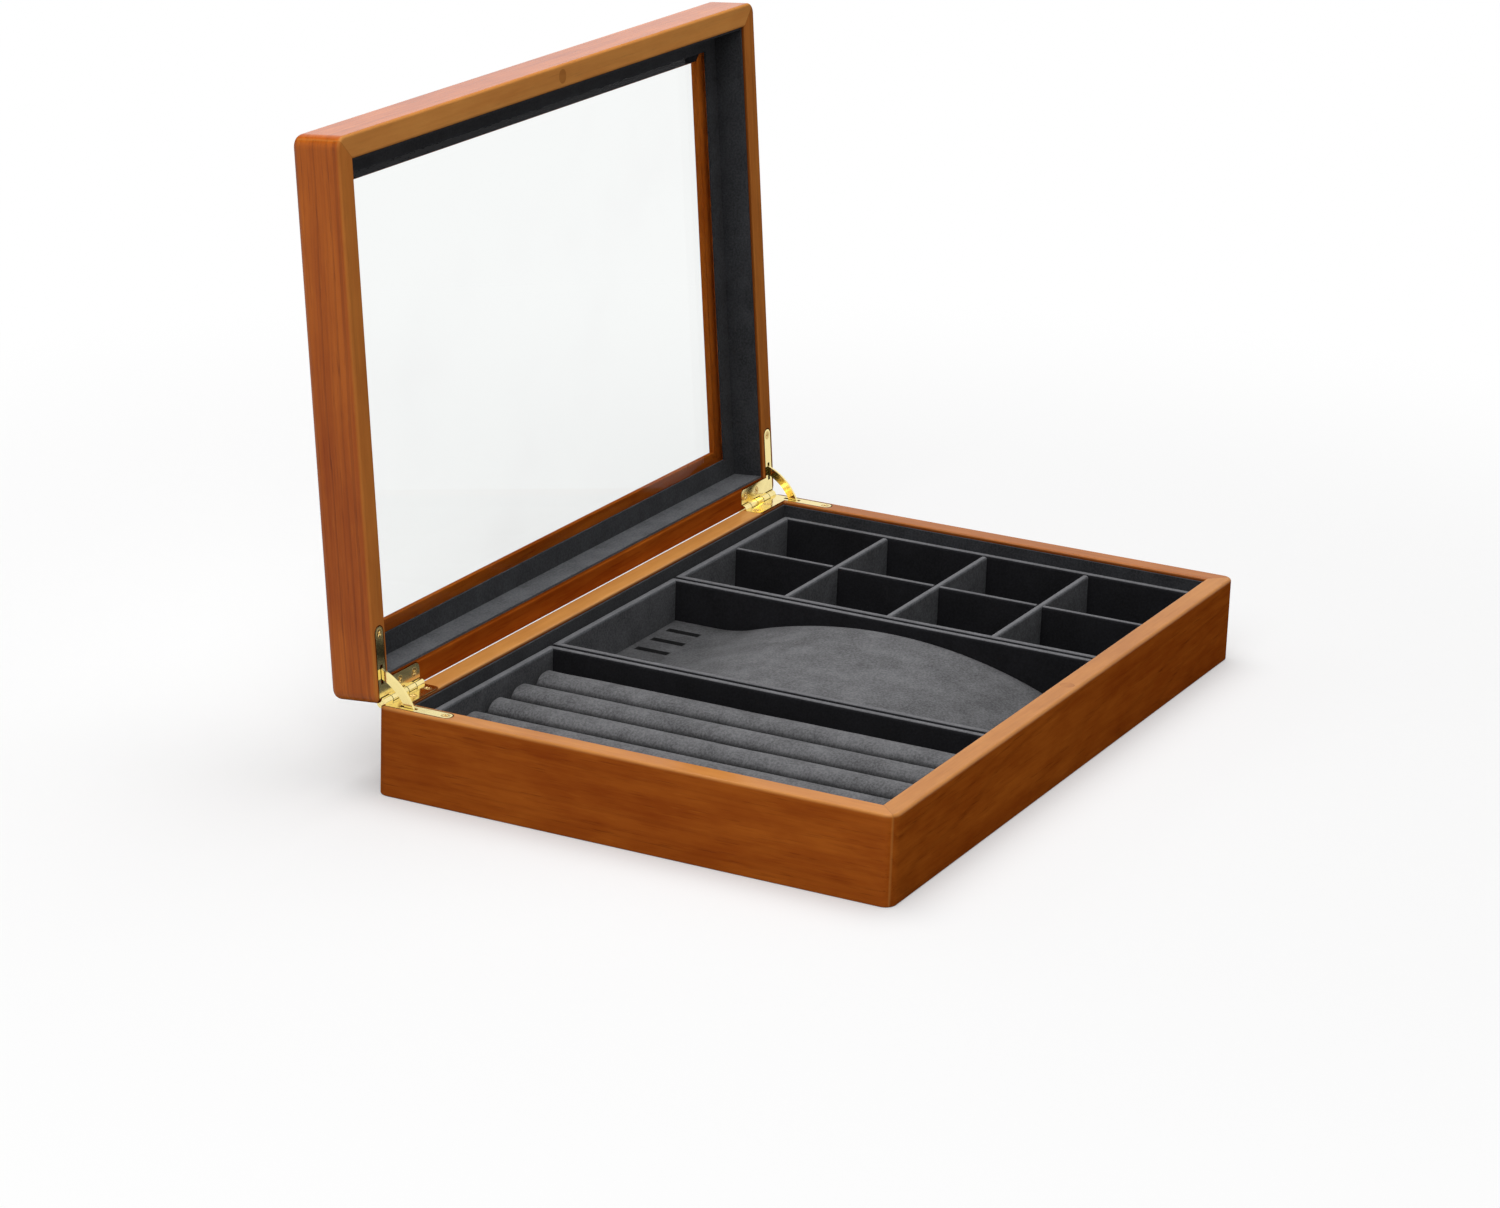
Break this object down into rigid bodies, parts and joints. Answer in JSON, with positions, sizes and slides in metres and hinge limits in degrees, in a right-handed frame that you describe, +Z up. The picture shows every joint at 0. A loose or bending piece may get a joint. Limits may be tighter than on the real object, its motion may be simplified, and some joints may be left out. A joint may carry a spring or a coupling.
{
  "type": "jewelry box",
  "caption": "Wooden jewelry box with a hinged glass lid on brass quadrant hinges and lift-out velvet trays for rings, necklaces and small pieces.",
  "frame": {"origin": "centre of the underside", "axes": "+X along the hinge line, +Y from the front to the hinged back, +Z up; the lid stands open"},
  "size_m": [0.35, 0.2712, 0.2666],
  "materials": {
    "lacquered_wood": "satin lacquer",
    "panel_wood": "plain, thin lacquer",
    "charcoal_velvet": "short-pile velvet",
    "clear_glass": "clear, polished",
    "polished_brass": "polished",
    "screw_brass": "polished, countersunk",
    "magnet_nickel": "nickel plated"
  },
  "bodies": {
    "base": {"base_front_wall": "lacquered_wood", "base_back_wall": "lacquered_wood", "base_left_wall": "lacquered_wood", "base_right_wall": "lacquered_wood", "bottom_panel": "panel_wood", "floor_lining": "charcoal_velvet", "base_front_lining": "charcoal_velvet", "base_back_lining": "charcoal_velvet", "base_left_lining": "charcoal_velvet", "base_right_lining": "charcoal_velvet", "left_hinge_base_leaf": "polished_brass", "right_hinge_base_leaf": "polished_brass", "hinge_pins": "polished_brass", "base_hinge_screws": "screw_brass", "base_magnet": "magnet_nickel", "base_magnet_plug": "lacquered_wood"},
    "lid": {"lid_front_rail": "lacquered_wood", "lid_back_rail": "lacquered_wood", "lid_left_rail": "lacquered_wood", "lid_right_rail": "lacquered_wood", "glass_pane": "clear_glass", "front_glass_strip": "charcoal_velvet", "back_glass_strip": "charcoal_velvet", "left_glass_strip": "charcoal_velvet", "right_glass_strip": "charcoal_velvet", "lid_front_lining": "charcoal_velvet", "lid_back_lining": "charcoal_velvet", "lid_left_lining": "charcoal_velvet", "lid_right_lining": "charcoal_velvet", "left_hinge_lid_leaf": "polished_brass", "right_hinge_lid_leaf": "polished_brass", "lid_hinge_screws": "screw_brass", "lid_magnet": "magnet_nickel", "lid_magnet_plug": "lacquered_wood"},
    "left_stay": {"left_stay": "polished_brass"},
    "right_stay": {"right_stay": "polished_brass"},
    "ring_tray": {"ring_tray_floor": "charcoal_velvet", "ring_tray_front_wall": "charcoal_velvet", "ring_tray_right_wall": "charcoal_velvet", "ring_tray_back_wall": "charcoal_velvet", "ring_tray_left_wall": "charcoal_velvet", "ring_roll_1": "charcoal_velvet", "ring_roll_2": "charcoal_velvet", "ring_roll_3": "charcoal_velvet", "ring_roll_4": "charcoal_velvet", "ring_roll_5": "charcoal_velvet"},
    "necklace_tray": {"necklace_tray_floor": "charcoal_velvet", "necklace_tray_front_wall": "charcoal_velvet", "necklace_tray_right_wall": "charcoal_velvet", "necklace_tray_back_wall": "charcoal_velvet", "necklace_tray_left_wall": "charcoal_velvet", "necklace_pad": "charcoal_velvet"},
    "compartment_tray": {"compartment_tray_floor": "charcoal_velvet", "compartment_tray_front_wall": "charcoal_velvet", "compartment_tray_right_wall": "charcoal_velvet", "compartment_tray_back_wall": "charcoal_velvet", "compartment_tray_left_wall": "charcoal_velvet", "long_divider": "charcoal_velvet", "cross_dividers": "charcoal_velvet"}
  },
  "joints": [
    {"name": "lid_hinge", "type": "hinge", "parent": "base", "child": "lid", "pos_m": [0, 0.11455, 0.038], "axis": [1, 0, 0], "range_deg": [0, 95]},
    {"name": "left_stay_turn", "type": "hinge", "parent": "base", "child": "left_stay", "pos_m": [0, 0.11455, 0.038], "axis": [1, 0, 0], "range_deg": [0, 47.5]},
    {"name": "right_stay_turn", "type": "hinge", "parent": "base", "child": "right_stay", "pos_m": [0, 0.11455, 0.038], "axis": [1, 0, 0], "range_deg": [0, 47.5]},
    {"name": "ring_tray_lift", "type": "slide", "parent": "base", "child": "ring_tray", "axis": [0, 0, 1], "range_m": [0, 0.02]},
    {"name": "necklace_tray_lift", "type": "slide", "parent": "base", "child": "necklace_tray", "axis": [0, 0, 1], "range_m": [0, 0.02]},
    {"name": "compartment_tray_lift", "type": "slide", "parent": "base", "child": "compartment_tray", "axis": [0, 0, 1], "range_m": [0, 0.02]}
  ],
  "couplings": [
    {"joint": "left_stay_turn", "follows": "lid_hinge", "ratio": 0.5},
    {"joint": "right_stay_turn", "follows": "lid_hinge", "ratio": 0.5}
  ]
}
